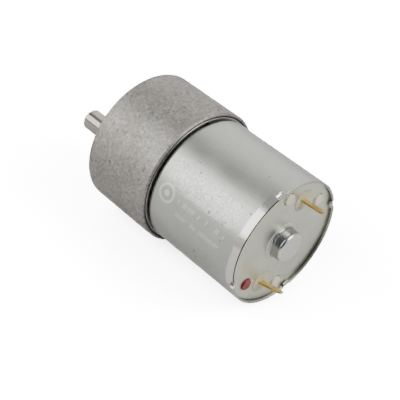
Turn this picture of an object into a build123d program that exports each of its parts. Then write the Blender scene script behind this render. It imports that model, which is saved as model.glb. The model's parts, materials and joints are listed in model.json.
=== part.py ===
from build123d import *
import os
from math import cos, sin, tan, acos, sqrt, atan2, radians, hypot, pi

os.makedirs("parts", exist_ok=True)

# Gearmotor, millimetres. The motor axis is the X axis, +X is the output direction and x = 0 is the
# gearbox's front mounting face. The output shaft lies below the motor axis.

# ---- driving dimensions ----
seat_gap = 0.01  # radial gap of a fixed fit
run_gap = 0.03  # radial gap of a running fit

# gearbox
gearbox_r = 18.5
gearbox_length = 21.4
gearbox_wall = 1.5
front_wall = 3.5
casting_edge = 0.4
shaft_offset = 7.0
boss_r = 6.0
boss_length = 6.0
inner_boss_length = 1.5
mount_pcd_r = 15.5
mount_hole_r = 1.25
plate_r = 17.7
plate_thickness = 2.0

# fasteners
column_r = 2.5
cover_screw_r = 1.5
cover_head_r = 2.45
cover_screw_end = 21.0
cover_screw_angles = (90, 210, 330)
motor_screw_r = 1.5
motor_head_r = 2.7
motor_screw_pcd_r = 12.5
motor_screw_end = 23.0
motor_screw_angles = (60, 240)

# gear train
module = 0.5
pressure_angle = 25.0
addendum = 0.8 * module
dedendum = 1.0 * module
tooth_thinning = 0.04
gear_pin_r = 1.0
gear_pin_socket = 2.0
spigot_r = 2.0
motor_pinion_teeth, first_wheel_teeth = 12, 24
small_pinion_teeth, middle_wheel_teeth = 11, 25
last_pinion_teeth, output_teeth = 12, 36

# output shaft
output_r = 3.0
output_tip = 22.0
flat_depth = 0.5
flat_length = 12.0
relief_rear, relief_front = 5.7, 6.4
relief_r = 2.8
shaft_seam_angle = 52.5  # where the turned faces start and end, well away from the flat
journal_r = 1.5
journal_start = -12.0
journal_end = -21.0
bushing_r = 4.25

# motor
can_r = 17.1
can_wall = 1.0
can_front = 1.2
can_length = 30.0
can_corner = 1.5
pilot_r = 4.0
pilot_length = 1.8
bearing_r = 3.2
motor_shaft_r = 1.15
end_recess = 0.95
end_seat_r = 16.55
end_thickness = 1.2
rear_boss_r = 4.1
rear_boss_length = 3.2

# rear end furniture, angles from +Y towards +Z
terminal_angle = 116.0
terminal_r = 11.4
terminal_width = 2.4
terminal_thickness = 0.5
terminal_length = 6.4
terminal_bend = 0.5  # how far behind the end plate the blades start to lean
terminal_leans = (3.0, -10.0)  # degrees outwards: the negative blade, the positive blade
insulator_r = 2.8
insulator_proud = 0.15
peg_angle = 28.0
peg_r = 1.5
peg_circle_r = 13.2
peg_proud = 0.55
crimp_angles = (75, 165, 255, 345)
rolled_start = 345

# armature
core_r = 11.4
core_front, core_rear = -27.5, -40.5
poles = 5
tooth_half = 1.8
magnet_inner_r = 11.9
magnet_front, magnet_rear = -26.0, -43.0
commutator_r = 3.9
segment_front, segment_rear = -43.2, -47.4

# ---- stations worked out from them ----
gearbox_rear = -gearbox_length
plate_front = gearbox_rear + plate_thickness
cavity_r = gearbox_r - gearbox_wall
can_rear = gearbox_rear - can_length
can_inner_r = can_r - can_wall
can_inside_front = gearbox_rear - can_front
end_outer = can_rear + end_recess
end_inner = end_outer + end_thickness
output_axis = (0, -shaft_offset)


# ---- helpers ----
def spot(radius, angle):
    """Point (y, z) at a radius and angle around the motor axis."""
    return (radius * cos(radians(angle)), radius * sin(radians(angle)))


def across(x, centre=(0, 0), angle=0):
    """Plane square to the motor axis at station x. At angle 0 its own axes run along +Y and +Z."""
    turned = (0, cos(radians(angle)), sin(radians(angle)))
    return Plane(origin=(x, *centre), x_dir=turned, z_dir=(1, 0, 0))


def along(angle=90, centre=(0, 0)):
    """Plane that holds the axis through centre: its x runs along +X and its y outwards at the angle."""
    normal = (0, -sin(radians(angle)), cos(radians(angle)))
    return Plane(origin=(0, *centre), x_dir=(1, 0, 0), z_dir=normal)


def axis_at(centre):
    """Axis along +X through the point centre."""
    return Axis((0, *centre), (1, 0, 0))


def save(piece, name):
    """Label a finished piece and write it to its own file."""
    piece.part.label = name
    export_step(piece.part, f"parts/{name}.step")


def pitch_r(teeth):
    """Pitch radius of a gear."""
    return module * teeth / 2


def mesh_phase(here, there, teeth_here, phase_here, teeth_there):
    """Angle of a tooth on the gear at there, so that its gaps take the teeth of the gear at here."""
    line = atan2(there[1] - here[1], there[0] - here[0])
    share = teeth_here * (line - phase_here) / (2 * pi)
    return line + pi - 2 * pi * (0.5 - share) / teeth_there


def gear_outline(teeth, phase):
    """Corner points of an involute gear with a tooth centred at the angle phase."""
    pitch = pitch_r(teeth)
    base = pitch * cos(radians(pressure_angle))
    root, tip = pitch - dedendum, pitch + addendum
    half_pitch = pi / (2 * teeth) - tooth_thinning / (2 * pitch)
    involute_at_pitch = tan(radians(pressure_angle)) - radians(pressure_angle)

    def half_tooth(radius):
        steep = acos(min(1, base / radius))
        return half_pitch + involute_at_pitch - (tan(steep) - steep)

    start = max(base, root)
    flank = [start + (tip - start) * step / 4 for step in range(5)]
    if root < base:
        flank.insert(0, root)
    points = []
    for tooth in range(teeth):
        middle = phase + 2 * pi * tooth / teeth
        rising = [(radius, middle - half_tooth(radius)) for radius in flank]
        falling = [(radius, middle + half_tooth(radius)) for radius in reversed(flank)]
        points += [(radius * cos(turn), radius * sin(turn)) for radius, turn in rising + falling]
    return points


def toothed(x0, x1, centre, teeth, phase, bore):
    """Spur gear blank from x0 to x1 with a plain bore."""
    with BuildPart() as piece:
        with BuildSketch(across(x0, centre)):
            with BuildLine():
                Polyline(*gear_outline(teeth, phase), close=True)
            make_face()
            Circle(bore, mode=Mode.SUBTRACT)
        extrude(amount=x1 - x0)
    return piece.part


def sleeve(x0, x1, centre, outer, bore):
    """Plain ring from x0 to x1."""
    with BuildPart() as piece:
        with BuildSketch(across(x0, centre)):
            Circle(outer)
            Circle(bore, mode=Mode.SUBTRACT)
        extrude(amount=x1 - x0)
    return piece.part


def ring_sector(inner, outer, middle, spread):
    """Face of a ring between two radii, spread degrees wide about the angle middle."""
    with BuildSketch(Plane.XY) as piece:
        Circle(outer)
        Circle(inner, mode=Mode.SUBTRACT)
        reach = 2 * outer / cos(radians(min(spread, 150) / 2))
        first, last = radians(middle - spread / 2), radians(middle + spread / 2)
        with BuildLine():
            Polyline(
                (0, 0),
                (reach * cos(first), reach * sin(first)),
                (reach * cos(radians(middle)), reach * sin(radians(middle))),
                (reach * cos(last), reach * sin(last)),
                close=True,
            )
        make_face(mode=Mode.INTERSECT)
    return piece.sketch


# ---- gear centres ----
# pin A carries the first and third gears. Pin B carries the second.
first_distance = pitch_r(motor_pinion_teeth) + pitch_r(first_wheel_teeth)
middle_distance = pitch_r(small_pinion_teeth) + pitch_r(middle_wheel_teeth)
last_distance = pitch_r(last_pinion_teeth) + pitch_r(output_teeth)


def crossing(centre_a, radius_a, centre_b, radius_b):
    """The crossing of two circles that lies to the left of the line from centre_a to centre_b."""
    dy, dz = centre_b[0] - centre_a[0], centre_b[1] - centre_a[1]
    gap = hypot(dy, dz)
    foot = (radius_a**2 - radius_b**2 + gap**2) / (2 * gap)
    rise = sqrt(radius_a**2 - foot**2)
    return (
        centre_a[0] + (foot * dy - rise * dz) / gap,
        centre_a[1] + (foot * dz + rise * dy) / gap,
    )


motor_axis = (0, 0)
pin_b_distance = 6.3
pin_a = crossing(motor_axis, first_distance, output_axis, last_distance)
pin_b = crossing(motor_axis, pin_b_distance, pin_a, middle_distance)

# gear stations, from the rear plate forwards
pinion_rear, pinion_front = -19.0, -16.5
first_wheel_rear, first_wheel_front, first_pinion_front = -18.9, -16.9, -13.7
second_wheel_rear, second_wheel_front, second_pinion_front = -16.0, -14.0, -10.9
third_wheel_rear, third_wheel_front, third_pinion_front = -13.3, -11.3, -7.2
output_gear_rear, output_gear_front, output_hub_front = -10.6, -7.4, -5.7

first_wheel_phase = mesh_phase(motor_axis, pin_a, motor_pinion_teeth, 0, first_wheel_teeth)
second_wheel_phase = mesh_phase(pin_a, pin_b, small_pinion_teeth, 0, middle_wheel_teeth)
third_wheel_phase = mesh_phase(pin_b, pin_a, small_pinion_teeth, 0, middle_wheel_teeth)
output_gear_phase = mesh_phase(pin_a, output_axis, last_pinion_teeth, 0, output_teeth)


# ================= gearbox casing =================
with BuildPart() as gearbox_housing:
    with BuildSketch(across(gearbox_rear)):
        Circle(gearbox_r)
    extrude(amount=gearbox_length)
    rims = gearbox_housing.edges().filter_by(GeomType.CIRCLE).group_by(Axis.X)
    chamfer(rims[0] + rims[-1], length=casting_edge)
    with BuildSketch(across(gearbox_rear)):
        Circle(cavity_r)
    extrude(amount=gearbox_length - front_wall, mode=Mode.SUBTRACT)
    with BuildSketch(across(gearbox_rear)):
        Circle(plate_r)
    extrude(amount=plate_thickness, mode=Mode.SUBTRACT)
    # columns for the cover screws, from the front wall to the rear plate
    with BuildSketch(across(plate_front)):
        Circle(cavity_r + gearbox_wall / 2)
        with Locations(*[spot(mount_pcd_r, angle) for angle in cover_screw_angles]):
            Circle(column_r, mode=Mode.INTERSECT)
    extrude(amount=gearbox_length - plate_thickness - front_wall)
    # boss outside and inside the front wall
    with BuildSketch(across(-front_wall - inner_boss_length, output_axis)):
        Circle(boss_r)
    extrude(amount=front_wall + inner_boss_length + boss_length)
    nose = gearbox_housing.edges().filter_by(GeomType.CIRCLE).group_by(Axis.X)[-1]
    chamfer(nose, length=casting_edge)
    with BuildSketch(across(-front_wall - inner_boss_length, output_axis)):
        Circle(bushing_r)
    extrude(amount=front_wall + inner_boss_length + boss_length, mode=Mode.SUBTRACT)
    # tapped mounting holes
    with BuildSketch(across(0)):
        with PolarLocations(mount_pcd_r, 6):
            Circle(mount_hole_r)
    extrude(amount=-front_wall, mode=Mode.SUBTRACT)
    # cover screw holes with their countersinks
    with BuildSketch(across(0)):
        with Locations(*[spot(mount_pcd_r, angle) for angle in cover_screw_angles]):
            Circle(cover_screw_r + 0.1)
    extrude(amount=-gearbox_length, mode=Mode.SUBTRACT)
    for angle in cover_screw_angles:
        with BuildSketch(along(90, spot(mount_pcd_r, angle))):
            Polygon((0, 0), (0, cover_head_r + 0.1), (-1.1, cover_screw_r + 0.1), (-1.1, 0), align=None)
        revolve(axis=axis_at(spot(mount_pcd_r, angle)), mode=Mode.SUBTRACT)
    # blind sockets for the gear pins
    with BuildSketch(across(-front_wall)):
        with Locations(pin_a, pin_b):
            Circle(gear_pin_r + seat_gap)
    extrude(amount=gear_pin_socket, mode=Mode.SUBTRACT)
save(gearbox_housing, "gearbox_housing")

with BuildPart() as rear_plate:
    with BuildSketch(across(gearbox_rear)):
        Circle(plate_r - seat_gap)
        Circle(pilot_r + seat_gap, mode=Mode.SUBTRACT)
        with Locations(pin_a, pin_b):
            Circle(gear_pin_r + seat_gap, mode=Mode.SUBTRACT)
        with Locations(output_axis):
            Circle(journal_r + run_gap, mode=Mode.SUBTRACT)
        with Locations(*[spot(mount_pcd_r, angle) for angle in cover_screw_angles]):
            Circle(cover_screw_r + seat_gap, mode=Mode.SUBTRACT)
        with Locations(*[spot(motor_screw_pcd_r, angle) for angle in motor_screw_angles]):
            Circle(motor_screw_r + 0.1, mode=Mode.SUBTRACT)
    extrude(amount=plate_thickness)
    for angle in motor_screw_angles:
        with BuildSketch(along(90, spot(motor_screw_pcd_r, angle))):
            Polygon(
                (plate_front, 0),
                (plate_front, motor_head_r + 0.1),
                (plate_front - 1.3, motor_screw_r + 0.1),
                (plate_front - 1.3, 0),
                align=None,
            )
        revolve(axis=axis_at(spot(motor_screw_pcd_r, angle)), mode=Mode.SUBTRACT)
save(rear_plate, "rear_plate")


def countersunk_screw(centre, face, end, shank, head, slant):
    """Countersunk screw with a cross slot: head at the face, shank back to end."""
    with BuildPart() as piece:
        with BuildSketch(along(90, centre)):
            Polygon(
                (face, 0),
                (face, head),
                (face - slant, shank),
                (end + 0.3, shank),
                (end, shank - 0.3),
                (end, 0),
                align=None,
            )
        revolve(axis=axis_at(centre))
        with BuildSketch(across(face, centre, 20)):
            Rectangle(head * 1.1, 0.5)
            Rectangle(0.5, head * 1.1)
        extrude(amount=-0.7, mode=Mode.SUBTRACT)
    return piece.part


with BuildPart() as cover_screws:
    for angle in cover_screw_angles:
        spot_here = spot(mount_pcd_r, angle)
        add(countersunk_screw(spot_here, -0.1, -cover_screw_end, cover_screw_r, cover_head_r, 1.0))
save(cover_screws, "cover_screws")

with BuildPart() as motor_screws:
    for angle in motor_screw_angles:
        spot_here = spot(motor_screw_pcd_r, angle)
        add(
            countersunk_screw(
                spot_here, plate_front - 0.05, -motor_screw_end, motor_screw_r, motor_head_r, 1.2
            )
        )
save(motor_screws, "motor_screws")

with BuildPart() as front_bushing:
    add(
        sleeve(
            -front_wall - inner_boss_length,
            boss_length - 0.2,
            output_axis,
            bushing_r - seat_gap,
            output_r + run_gap,
        )
    )
save(front_bushing, "front_bushing")

with BuildPart() as output_thrust_washer:
    add(sleeve(-5.55, -5.05, output_axis, 5.2, output_r + 0.06))
save(output_thrust_washer, "output_thrust_washer")

# ================= gear pins =================
for name, centre in (("gear_pin_a", pin_a), ("gear_pin_b", pin_b)):
    with BuildPart() as gear_pin:
        with BuildSketch(across(gearbox_rear + 0.1, centre)):
            Circle(gear_pin_r)
        extrude(amount=gearbox_length - front_wall + gear_pin_socket - 0.2)
        chamfer(gear_pin.edges().filter_by(GeomType.CIRCLE), length=0.2)
    save(gear_pin, name)

spacer_r = 1.9
spacer_bore = gear_pin_r + seat_gap
with BuildPart() as pin_spacers:
    add(sleeve(plate_front, plate_front + 0.3, pin_a, spacer_r, spacer_bore))
    add(sleeve(third_pinion_front + 0.2, -front_wall, pin_a, spacer_r, spacer_bore))
    add(sleeve(plate_front, second_wheel_rear - 0.2, pin_b, spacer_r, spacer_bore))
    add(sleeve(second_pinion_front + 0.2, -front_wall, pin_b, spacer_r, spacer_bore))
save(pin_spacers, "pin_spacers")


# ================= gear train =================
def wheel(x0, x1, centre, teeth, phase, hole_circle_r, hole_r):
    """Stamped wheel with a ring of lightening holes, pressed on its pinion's spigot."""
    with BuildPart() as piece:
        add(toothed(x0, x1, centre, teeth, phase, spigot_r + seat_gap))
        with BuildSketch(across(x0, centre)):
            with PolarLocations(hole_circle_r, 5):
                Circle(hole_r)
        extrude(amount=x1 - x0, mode=Mode.SUBTRACT)
    return piece


def pinion(x0, step, x1, centre, teeth):
    """Pinion with teeth from step to x1 and a spigot back to x0, running on a fixed pin."""
    with BuildPart() as piece:
        add(toothed(step, x1, centre, teeth, 0, gear_pin_r + run_gap))
        add(sleeve(x0, step, centre, spigot_r, gear_pin_r + run_gap))
    return piece


save(
    wheel(first_wheel_rear, first_wheel_front, pin_a, first_wheel_teeth, first_wheel_phase, 3.9, 0.9),
    "first_wheel",
)
save(
    pinion(first_wheel_rear, first_wheel_front, first_pinion_front, pin_a, small_pinion_teeth),
    "first_pinion",
)
save(
    wheel(second_wheel_rear, second_wheel_front, pin_b, middle_wheel_teeth, second_wheel_phase, 4.0, 0.9),
    "second_wheel",
)
save(
    pinion(second_wheel_rear, second_wheel_front, second_pinion_front, pin_b, small_pinion_teeth),
    "second_pinion",
)
save(
    wheel(third_wheel_rear, third_wheel_front, pin_a, middle_wheel_teeth, third_wheel_phase, 4.0, 0.9),
    "third_wheel",
)
save(
    pinion(third_wheel_rear, third_wheel_front, third_pinion_front, pin_a, last_pinion_teeth),
    "third_pinion",
)

with BuildPart() as output_gear:
    add(
        toothed(
            output_gear_rear,
            output_gear_front,
            output_axis,
            output_teeth,
            output_gear_phase,
            output_r + seat_gap,
        )
    )
    add(sleeve(output_gear_front, output_hub_front, output_axis, 5.0, output_r + seat_gap))
save(output_gear, "output_gear")

# ================= output shaft =================
clip_front, clip_rear, clip_groove_r = -10.75, -11.3, 2.6
with BuildPart() as output_shaft:
    with BuildSketch(along(shaft_seam_angle, output_axis)):
        Polygon(
            (output_tip, 0),
            (output_tip, output_r - 0.5),
            (output_tip - 0.5, output_r),
            (relief_front, output_r),
            (relief_front, relief_r),
            (relief_rear, relief_r),
            (relief_rear, output_r),
            (clip_front + 0.05, output_r),
            (clip_front + 0.05, clip_groove_r),
            (clip_rear - 0.05, clip_groove_r),
            (clip_rear - 0.05, output_r),
            (journal_start, output_r),
            (journal_start, journal_r),
            (journal_end, journal_r),
            (journal_end, 0),
            align=None,
        )
    revolve(axis=axis_at(output_axis))
    with BuildSketch(across(output_tip, output_axis)):
        with Locations((0, -output_r)):
            Rectangle(2 * output_r, 2 * flat_depth)
    extrude(amount=-flat_length, mode=Mode.SUBTRACT)
save(output_shaft, "output_shaft")

with BuildPart() as output_circlip:
    with BuildSketch(across(clip_rear, output_axis)):
        Circle(4.0)
        Circle(clip_groove_r + seat_gap, mode=Mode.SUBTRACT)
        with Locations((0, 4)):
            Rectangle(2.4, 5, mode=Mode.SUBTRACT)
    extrude(amount=clip_front - clip_rear)
save(output_circlip, "output_circlip")

# ================= motor can =================
crimp_width, crimp_bite = 2.6, 0.5
lip_reach, lip_root = 0.9, 0.1
roll_length, roll_inset = 2.2, 0.4

with BuildPart() as motor_can:
    with BuildSketch(across(can_rear)):
        Circle(can_r)
    extrude(amount=can_length)
    front_edge = motor_can.edges().filter_by(GeomType.CIRCLE).group_by(Axis.X)[-1]
    fillet(front_edge, radius=can_corner)
    with BuildSketch(across(can_rear)):
        Circle(can_inner_r)
    extrude(amount=can_length - can_front, mode=Mode.SUBTRACT)
    # seat of the end plate
    with BuildSketch(across(can_rear)):
        Circle(end_seat_r)
    extrude(amount=end_inner - can_rear, mode=Mode.SUBTRACT)
    # pilot boss, drawn forward over the front bearing
    with BuildSketch(across(gearbox_rear - can_front)):
        Circle(pilot_r)
    extrude(amount=can_front + pilot_length)
    with BuildSketch(across(gearbox_rear - can_front)):
        Circle(bearing_r)
    extrude(amount=can_front + pilot_length - 0.6, mode=Mode.SUBTRACT)
    with BuildSketch(across(gearbox_rear - can_front)):
        Circle(motor_shaft_r + 0.35)
    extrude(amount=can_front + pilot_length, mode=Mode.SUBTRACT)
    # tapped holes for the motor screws
    with BuildSketch(across(gearbox_rear)):
        with Locations(*[spot(motor_screw_pcd_r, angle) for angle in motor_screw_angles]):
            Circle(motor_screw_r + seat_gap)
    extrude(amount=-can_front, mode=Mode.SUBTRACT)
    # rolled-in band on the quarter between two crimps
    with BuildSketch(along(rolled_start)):
        Polygon(
            (can_rear, can_r - roll_inset),
            (can_rear + roll_length, can_r),
            (can_rear + roll_length, can_r + 1),
            (can_rear - 1, can_r + 1),
            (can_rear - 1, can_r - roll_inset),
            align=None,
        )
    revolve(axis=Axis.X, revolution_arc=90, mode=Mode.SUBTRACT)
    # crimps: the rim is pressed in over the end plate
    for angle in crimp_angles:
        with BuildSketch(across(can_rear + 0.1, (0, 0), angle)):
            with Locations((end_seat_r - lip_reach / 2 + lip_root / 2, 0)):
                RectangleRounded(lip_reach + lip_root, crimp_width, 0.3)
        extrude(amount=end_recess - 0.1)
        with BuildSketch(across(can_rear, (0, 0), angle)):
            with Locations((can_r + 0.9, 0)):
                Circle(0.9 + crimp_bite)
        extrude(amount=end_recess + 0.6, mode=Mode.SUBTRACT)
save(motor_can, "motor_can")

with BuildPart() as front_bearing:
    add(
        sleeve(
            can_inside_front,
            gearbox_rear + pilot_length - 0.7,
            motor_axis,
            bearing_r - seat_gap,
            motor_shaft_r + 0.02,
        )
    )
save(front_bearing, "front_bearing")

# ================= magnets =================
magnet_spread = 130.0
magnet_middle = 30.0
for name, middle in (("magnet_a", magnet_middle), ("magnet_b", magnet_middle + 180)):
    with BuildPart() as magnet:
        with BuildSketch(across(magnet_rear)):
            add(ring_sector(magnet_inner_r, can_inner_r - seat_gap, middle, magnet_spread))
        extrude(amount=magnet_front - magnet_rear)
        chamfer(magnet.edges().filter_by(Axis.X), length=0.4)
    save(magnet, name)

clip_spread = 180 - magnet_spread - 2
with BuildPart() as magnet_clips:
    for middle in (magnet_middle + 90, magnet_middle + 270):
        with BuildSketch(across(magnet_rear + 1)):
            add(ring_sector(can_inner_r - 1.6, can_inner_r - 0.02, middle, clip_spread))
            channel = ring_sector(can_inner_r - 1.7, can_inner_r - 0.4, middle, clip_spread - 3)
            add(channel, mode=Mode.SUBTRACT)
        extrude(amount=magnet_front - magnet_rear - 2)
save(magnet_clips, "magnet_clips")

# ================= end plate =================
groove_r, groove_depth = 5.0, 0.12
peg_angles = [terminal_angle + side + turn for side in (0, 180) for turn in (-peg_angle, peg_angle)]
terminal_angles = (terminal_angle, terminal_angle + 180)

with BuildPart() as end_plate:
    with BuildSketch(across(end_outer)):
        Circle(end_seat_r - seat_gap)
    extrude(amount=end_thickness)
    with BuildSketch(across(end_outer)):
        Circle(rear_boss_r)
    extrude(amount=-rear_boss_length)
    boss_edge = end_plate.edges().filter_by(GeomType.CIRCLE).group_by(Axis.X)[0]
    fillet(boss_edge, radius=0.9)
    with BuildSketch(along()):
        with Locations((end_outer, groove_r)):
            Ellipse(groove_depth, 0.35)
    revolve(axis=Axis.X, mode=Mode.SUBTRACT)
    with BuildSketch(across(end_inner)):
        Circle(bearing_r)
    extrude(amount=-(end_thickness + rear_boss_length - 0.6), mode=Mode.SUBTRACT)
    with BuildSketch(across(end_outer)):
        with Locations(*[spot(terminal_r, angle) for angle in terminal_angles]):
            Circle(insulator_r + seat_gap)
        with Locations(*[spot(peg_circle_r, angle) for angle in peg_angles]):
            Circle(peg_r + seat_gap)
    extrude(amount=end_thickness, mode=Mode.SUBTRACT)
save(end_plate, "end_plate")

with BuildPart() as rear_bearing:
    add(sleeve(end_outer - 1.6, end_inner - 0.15, motor_axis, bearing_r - seat_gap, motor_shaft_r + 0.02))
save(rear_bearing, "rear_bearing")

with BuildPart() as bearing_retainer:
    with BuildSketch(across(end_inner)):
        Circle(4.4)
        Circle(2.0, mode=Mode.SUBTRACT)
        with PolarLocations(2.2, 6):
            SlotOverall(1.6, 0.5, mode=Mode.SUBTRACT)
    extrude(amount=0.3)
save(bearing_retainer, "bearing_retainer")

# ================= brush gear =================
holder_thickness = 1.6
holder_front = end_inner + holder_thickness

with BuildPart() as brush_holder:
    with BuildSketch(across(end_inner)):
        Circle(can_inner_r - 0.3)
        Circle(6.2, mode=Mode.SUBTRACT)
        with Locations(*[spot(terminal_r, angle) for angle in terminal_angles]):
            Circle(insulator_r + seat_gap, mode=Mode.SUBTRACT)
    extrude(amount=holder_thickness)
    with BuildSketch(across(end_inner)):
        with Locations(*[spot(peg_circle_r, angle) for angle in peg_angles[:3]]):
            Circle(peg_r)
    extrude(amount=-(end_thickness + peg_proud))
    # the marked peg is shorter by the thickness of its red cap
    with BuildSketch(across(end_inner)):
        with Locations(spot(peg_circle_r, peg_angles[3])):
            Circle(peg_r)
    extrude(amount=-(end_thickness - 0.2))
save(brush_holder, "brush_holder")

with BuildPart() as polarity_dot:
    with BuildSketch(across(end_outer + 0.2, spot(peg_circle_r, peg_angles[3]))):
        Circle(peg_r - seat_gap)
    extrude(amount=-(0.2 + peg_proud))
save(polarity_dot, "polarity_dot")

arm_front, arm_rear = -44.1, -46.5
brush_front, brush_rear = -44.2, -46.4
arm_sheet = 0.3
arm_seat = terminal_r - terminal_thickness / 2
brush_back = 6.6
arm_side = 6.4

for sign, angle, lean in zip(("negative", "positive"), terminal_angles, terminal_leans):
    blade_centre = spot(terminal_r, angle)
    bend_x = end_outer - terminal_bend
    tip = terminal_bend - terminal_length
    outwards = (0, *spot(1, angle))
    sideways = (0, *spot(1, angle + 90))
    with BuildPart() as insulator:
        with BuildSketch(across(end_outer - insulator_proud, blade_centre, angle)):
            Circle(insulator_r)
            Rectangle(terminal_thickness + 0.04, terminal_width + 0.04, mode=Mode.SUBTRACT)
        extrude(amount=insulator_proud + end_thickness + holder_thickness)
    save(insulator, f"insulator_{sign}")

    with BuildPart() as terminal:
        with BuildSketch(Plane(origin=(0, *blade_centre), x_dir=(1, 0, 0), z_dir=outwards)):
            with Locations(((arm_front + bend_x) / 2, 0)):
                Rectangle(arm_front - bend_x, terminal_width)
        extrude(amount=terminal_thickness / 2, both=True)
        # the bend, then the leaning blade with its pointed tip and wire hole
        with BuildSketch(Plane(origin=(bend_x, *blade_centre), x_dir=(1, 0, 0), z_dir=sideways)):
            Circle(terminal_thickness / 2)
        extrude(amount=terminal_width / 2, both=True)
        run = (cos(radians(lean)), *spot(-sin(radians(lean)), angle))
        face = (sin(radians(lean)), *spot(cos(radians(lean)), angle))
        with BuildSketch(Plane(origin=(bend_x, *blade_centre), x_dir=run, z_dir=face)):
            with BuildLine():
                Polyline(
                    (0, -terminal_width / 2),
                    (0, terminal_width / 2),
                    (tip + 0.8, terminal_width / 2),
                    (tip, terminal_width / 2 - 0.6),
                    (tip, -terminal_width / 2 + 0.6),
                    (tip + 0.8, -terminal_width / 2),
                    close=True,
                )
            make_face()
            with Locations((tip / 2 - 0.4, 0)):
                Circle(0.5, mode=Mode.SUBTRACT)
        extrude(amount=terminal_thickness / 2, both=True)
    save(terminal, f"terminal_{sign}")

    # bent leaf: it leaves the terminal sideways, turns inwards and presses the brush on the commutator
    with BuildPart() as brush_arm:
        with BuildSketch(across(arm_rear, (0, 0), angle)):
            with BuildLine():
                FilletPolyline(
                    (arm_seat - arm_sheet / 2, -1.2),
                    (arm_seat - arm_sheet / 2, arm_side),
                    (brush_back + arm_sheet / 2, arm_side),
                    (brush_back + arm_sheet / 2, -1.2),
                    radius=1.2,
                )
            trace(line_width=arm_sheet)
        extrude(amount=arm_front - arm_rear)
    save(brush_arm, f"brush_arm_{sign}")

    with BuildPart() as brush:
        with BuildSketch(across(brush_rear, (0, 0), angle)):
            with Locations(((brush_back + commutator_r) / 2 - 0.2, 0)):
                Rectangle(brush_back - commutator_r + 0.4, 2.0)
            Circle(commutator_r + run_gap, mode=Mode.SUBTRACT)
        extrude(amount=brush_front - brush_rear)
    save(brush, f"brush_{sign}")

# ================= armature =================
with BuildPart() as armature_shaft:
    with BuildSketch(across(end_outer - 1.9)):
        Circle(motor_shaft_r)
    extrude(amount=pinion_front + 0.1 - end_outer + 1.9)
    chamfer(armature_shaft.edges().filter_by(GeomType.CIRCLE), length=0.2)
save(armature_shaft, "armature_shaft")

shoe_r = 9.9
slot_opening = 8.0
core_hub_r = 4.2
bore_on_shaft = motor_shaft_r + seat_gap


def star(outer, half_width, bore):
    """Face of the five-pole star: hub, arms and pole shoes."""
    with BuildSketch(Plane.XY) as piece:
        Circle(core_hub_r)
        for pole in range(poles):
            with BuildLine(mode=Mode.PRIVATE) as arm:
                Polyline(
                    (0, -half_width),
                    (shoe_r + 0.4, -half_width),
                    (shoe_r + 0.4, half_width),
                    (0, half_width),
                    close=True,
                )
            with Locations(Rotation(0, 0, 360 / poles * pole)):
                add(make_face(arm.edges(), mode=Mode.PRIVATE))
            add(ring_sector(shoe_r, outer, 360 / poles * pole, 360 / poles - slot_opening))
        Circle(bore, mode=Mode.SUBTRACT)
    return piece.sketch


with BuildPart() as armature_core:
    with BuildSketch(across(core_rear)):
        add(star(core_r, tooth_half, bore_on_shaft))
    extrude(amount=core_front - core_rear)
save(armature_core, "armature_core")

sheet = 0.6
for name, station in (("core_insulator_front", core_front), ("core_insulator_rear", core_rear - sheet)):
    with BuildPart() as core_insulator:
        with BuildSketch(across(station)):
            add(star(core_r - 0.2, tooth_half, bore_on_shaft))
        extrude(amount=sheet)
    save(core_insulator, name)

coil_foot, coil_head = 4.6, 9.0
coil_overhang = 1.7
with BuildPart() as windings:
    for pole in range(poles):
        turn = 360 / poles * pole
        with BuildSketch(across(core_rear - sheet - coil_overhang, (0, 0), turn)):
            Polygon((coil_foot, -3.1), (coil_head, -3.9), (coil_head, 3.9), (coil_foot, 3.1), align=None)
        extrude(amount=core_front - core_rear + 2 * (sheet + coil_overhang))
        with BuildSketch(across(core_rear - sheet - 0.02, (0, 0), turn)):
            with Locations(((coil_foot + coil_head) / 2, 0)):
                Rectangle(coil_head - coil_foot + 1, 2 * tooth_half + 0.04)
        extrude(amount=core_front - core_rear + 2 * sheet + 0.04, mode=Mode.SUBTRACT)
    ends = windings.faces().filter_by(Axis.X).sort_by(Axis.X)
    outer_ends = ends[:poles] + ends[-poles:]
    fillet(outer_ends.edges(), radius=1.0)
save(windings, "windings")

with BuildPart() as commutator_hub:
    add(sleeve(segment_rear - 0.2, -42.0, motor_axis, 2.9, bore_on_shaft))
save(commutator_hub, "commutator_hub")

with BuildPart() as commutator_segments:
    for pole in range(poles):
        middle = 360 / poles * (pole + 0.5)
        with BuildSketch(across(segment_rear)):
            add(ring_sector(2.9, commutator_r, middle, 360 / poles - 5))
        extrude(amount=segment_front - segment_rear)
        # riser that the coil wire is hooked on
        with BuildSketch(across(segment_front - 0.5)):
            add(ring_sector(commutator_r - 0.3, 5.2, middle, 16))
        extrude(amount=0.5)
save(commutator_segments, "commutator_segments")

with BuildPart() as armature_spacers:
    add(sleeve(core_front + sheet, can_inside_front - 0.4, motor_axis, 2.2, bore_on_shaft))
    add(sleeve(can_inside_front - 0.35, can_inside_front - 0.1, motor_axis, 2.2, bore_on_shaft))
    add(sleeve(end_inner - 0.1, segment_rear - 0.2, motor_axis, 1.7, bore_on_shaft))
save(armature_spacers, "armature_spacers")

with BuildPart() as motor_pinion:
    add(toothed(pinion_rear, pinion_front, motor_axis, motor_pinion_teeth, 0, bore_on_shaft))
save(motor_pinion, "motor_pinion")
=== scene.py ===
"""Looks of the gearmotor: detailed outer pieces and node-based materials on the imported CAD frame."""

import json
from math import atan2, cos, degrees, hypot, pi, radians, sin, tan

import bmesh
import bpy
from mathutils import Matrix, Vector


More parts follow.
